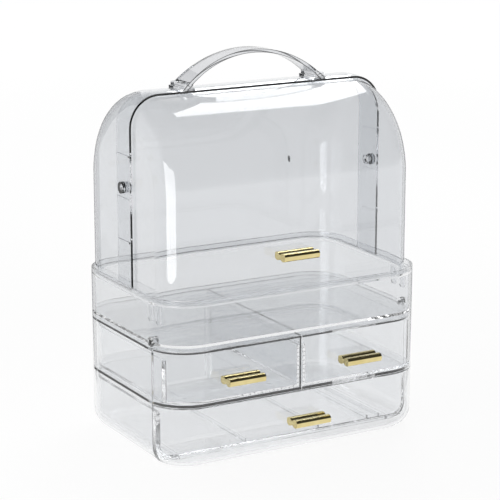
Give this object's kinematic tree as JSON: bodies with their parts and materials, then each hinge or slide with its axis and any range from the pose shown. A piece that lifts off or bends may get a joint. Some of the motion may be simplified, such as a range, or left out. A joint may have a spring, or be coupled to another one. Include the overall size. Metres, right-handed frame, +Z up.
{
  "type": "cosmetics organizer with drawers and flip-up cover",
  "caption": "Clear table-top organizer: sliding drawers under an open tray, closed by a domed cover whose front flips up on side pivots, with a carry handle on top.",
  "frame": {"origin": "centre of the underside of the drawer housing, at the level of the table", "axes": "+Z up, -Y out of the drawer fronts, +X to the right seen from the front"},
  "size_m": [0.28, 0.202, 0.3675],
  "materials": {
    "clear_housing": "polished, clear",
    "clear_plate": "polished, clear",
    "clear_tray": "polished, clear",
    "clear_shell": "polished, clear",
    "clear_pin": "polished, clear",
    "clear_handle": "polished, clear",
    "clear_drawer": "polished, clear",
    "gold_plated": "polished"
  },
  "bodies": {
    "base": {"drawer_housing": "clear_housing", "housing_top_plate": "clear_plate", "drawer_shelf": "clear_plate", "centre_divider": "clear_plate", "cosmetics_tray": "clear_tray", "rear_shell": "clear_shell", "left_pivot_pin": "clear_pin", "right_pivot_pin": "clear_pin", "carry_handle": "clear_handle", "locating_studs": "clear_pin"},
    "door": {"flip_up_shell": "clear_shell", "door_pull": "gold_plated"},
    "lower_drawer_body": {"lower_drawer": "clear_drawer", "lower_pull": "gold_plated"},
    "upper_left_drawer_body": {"upper_left_drawer": "clear_drawer", "upper_left_pull": "gold_plated"},
    "upper_right_drawer_body": {"upper_right_drawer": "clear_drawer", "upper_right_pull": "gold_plated"}
  },
  "joints": [
    {"name": "door_flip", "type": "hinge", "parent": "base", "child": "door", "pos_m": [0, 0.0015, 0.249], "axis": [-1, 0, 0], "range_deg": [0, 86]},
    {"name": "lower_drawer_slide", "type": "slide", "parent": "base", "child": "lower_drawer_body", "axis": [0, -1, 0], "range_m": [0, 0.12]},
    {"name": "upper_left_drawer_slide", "type": "slide", "parent": "base", "child": "upper_left_drawer_body", "axis": [0, -1, 0], "range_m": [0, 0.12]},
    {"name": "upper_right_drawer_slide", "type": "slide", "parent": "base", "child": "upper_right_drawer_body", "axis": [0, -1, 0], "range_m": [0, 0.12]}
  ]
}
